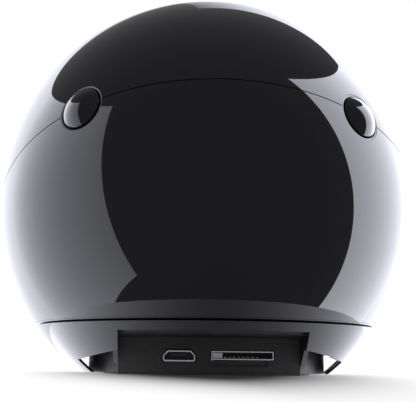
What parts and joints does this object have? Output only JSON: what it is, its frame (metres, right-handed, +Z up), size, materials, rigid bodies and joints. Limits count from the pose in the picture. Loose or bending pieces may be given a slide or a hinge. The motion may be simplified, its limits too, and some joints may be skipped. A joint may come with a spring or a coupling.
{
  "type": "smart speaker",
  "caption": "Ball-shaped desktop smart speaker with two rear push buttons, a round front grille, and a charging socket and memory card slot in a bay at the back of its base.",
  "frame": {"origin": "on the table, under the middle of the ball", "axes": "+Z up, -Y towards the front grille, +Y towards the back with the ports, +X to the right seen from the front"},
  "size_m": [0.11, 0.1099, 0.0994],
  "materials": {
    "gloss_black": "piano gloss",
    "collar_black": "gloss",
    "matte_black": "moulded matte",
    "panel_black": "fine moulded grain",
    "rubber_black": "matte",
    "iron": "as cast",
    "screw_steel": "zinc plated",
    "socket_metal": "nickel plated",
    "socket_plastic": "moulded",
    "slider_metal": "satin",
    "contact_gold": "gold plated",
    "circuit_board": "solder mask",
    "chip_black": "moulded",
    "light_board_white": "white solder mask",
    "silicone_grey": "matte",
    "grille_metal": "satin paint",
    "trim_metal": "dark chrome",
    "light_diffuser": "translucent",
    "basket_metal": "black paint",
    "magnet_ferrite": "ground",
    "plate_zinc": "zinc plated",
    "cone_paper": "pressed paper",
    "surround_rubber": "satin",
    "coil_copper": "enamelled wire",
    "spider_cloth": "varnished weave",
    "battery_wrap": "shrink wrap"
  },
  "bodies": {
    "housing": {"upper_shell": "gloss_black", "rear_shell": "gloss_black", "seam_ring": "matte_black", "groove_band": "gloss_black", "base_skirt": "gloss_black", "base_cup": "collar_black", "rubber_foot": "rubber_black", "chassis": "matte_black", "ballast_weight": "iron", "base_screws": "screw_steel", "ballast_screws": "screw_steel", "port_panel": "panel_black", "port_bay": "gloss_black", "port_board": "circuit_board", "usb_shell": "socket_metal", "usb_tongue": "socket_plastic", "usb_housing": "socket_plastic", "card_shell": "socket_metal", "card_contacts": "contact_gold", "card_base": "socket_plastic", "port_chips": "chip_black", "left_button_ring": "gloss_black", "left_button_housing": "matte_black", "left_switch_board": "circuit_board", "left_switch_body": "socket_plastic", "left_button_dome": "silicone_grey", "right_button_ring": "gloss_black", "right_button_housing": "matte_black", "right_switch_board": "circuit_board", "right_switch_body": "socket_plastic", "right_button_dome": "silicone_grey", "front_grille": "grille_metal", "grille_ring": "trim_metal", "light_ring": "light_diffuser", "light_board": "light_board_white", "baffle": "matte_black", "baffle_screws": "screw_steel", "speaker_basket": "basket_metal", "speaker_magnet": "magnet_ferrite", "speaker_plates": "plate_zinc", "speaker_surround": "surround_rubber", "speaker_spider": "spider_cloth", "speaker_screws": "screw_steel", "speaker_chamber": "matte_black", "main_board": "circuit_board", "main_chips": "chip_black", "wifi_shield": "socket_metal", "board_screws": "screw_steel", "battery": "battery_wrap", "battery_holder": "matte_black", "microphone_board": "circuit_board", "touch_pad": "matte_black"},
    "left_button": {"left_button_cap": "gloss_black", "left_switch_plunger": "socket_plastic"},
    "right_button": {"right_button_cap": "gloss_black", "right_switch_plunger": "socket_plastic"},
    "cone": {"speaker_cone": "cone_paper", "speaker_dust_cap": "cone_paper", "voice_coil": "coil_copper"},
    "card_pusher": {"card_slider": "slider_metal"}
  },
  "joints": [
    {"name": "left_button_press", "type": "slide", "parent": "housing", "child": "left_button", "axis": [0.58, -0.7724, -0.2588], "range_m": [0, 0.0008], "stiffness_N_per_m": 900, "springref_m": -0.0006, "deforming": ["left_button_dome"]},
    {"name": "right_button_press", "type": "slide", "parent": "housing", "child": "right_button", "axis": [-0.58, -0.7724, -0.2588], "range_m": [0, 0.0008], "stiffness_N_per_m": 900, "springref_m": -0.0006, "deforming": ["right_button_dome"]},
    {"name": "cone_travel", "type": "slide", "parent": "housing", "child": "cone", "axis": [0, -0.9848, 0.1736], "range_m": [-0.0015, 0.0015], "stiffness_N_per_m": 1500, "deforming": ["speaker_surround", "speaker_spider"]},
    {"name": "card_eject", "type": "slide", "parent": "housing", "child": "card_pusher", "axis": [0, -1, 0], "range_m": [0, 0.0012], "stiffness_N_per_m": 300, "springref_m": -0.001}
  ]
}
